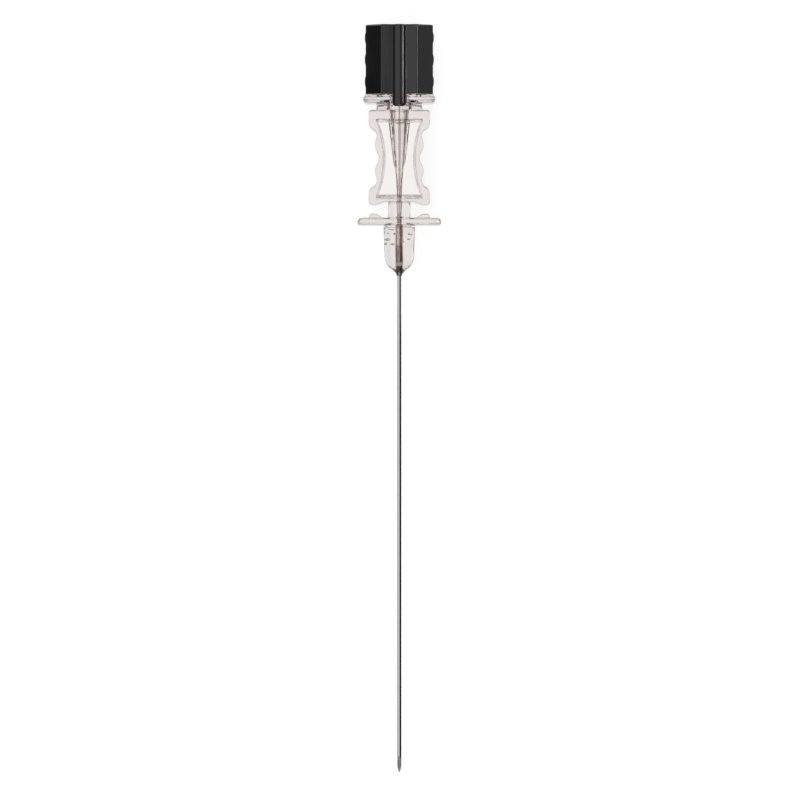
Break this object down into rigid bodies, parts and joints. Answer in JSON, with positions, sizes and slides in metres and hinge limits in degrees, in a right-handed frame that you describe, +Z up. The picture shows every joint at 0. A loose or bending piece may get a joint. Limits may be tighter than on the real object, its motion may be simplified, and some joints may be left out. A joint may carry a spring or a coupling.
{
  "type": "spinal needle",
  "caption": "Spinal needle: thin steel cannula with a ground bevel point, clear keyed hub with finger flange, and a black-capped stylet that draws straight out.",
  "frame": {"origin": "on the needle's axis, where the cannula leaves the nose of the hub", "axes": "+Y along the needle towards the stylet cap, +Z up and out of the front, where the key and the ground face of the point are; the needle lies on its back"},
  "size_m": [0.0148, 0.1323, 0.0104],
  "materials": {
    "clear_plastic": "clear, moulded and glossy, with a faint warm tint",
    "tube_steel": "drawn and polished stainless tube",
    "cured_adhesive": "clear amber, cured",
    "wire_steel": "drawn stainless wire",
    "black_plastic": "black, moulded, with a soft gloss"
  },
  "bodies": {
    "needle": {"hub": "clear_plastic", "cannula": "tube_steel", "adhesive_bond": "cured_adhesive"},
    "stylet": {"stylet_cap": "black_plastic", "stylet_wire": "wire_steel"}
  },
  "joints": [
    {"name": "stylet_slide", "type": "slide", "parent": "needle", "child": "stylet", "axis": [0, 1, 0], "range_m": [0, 0.132]}
  ]
}
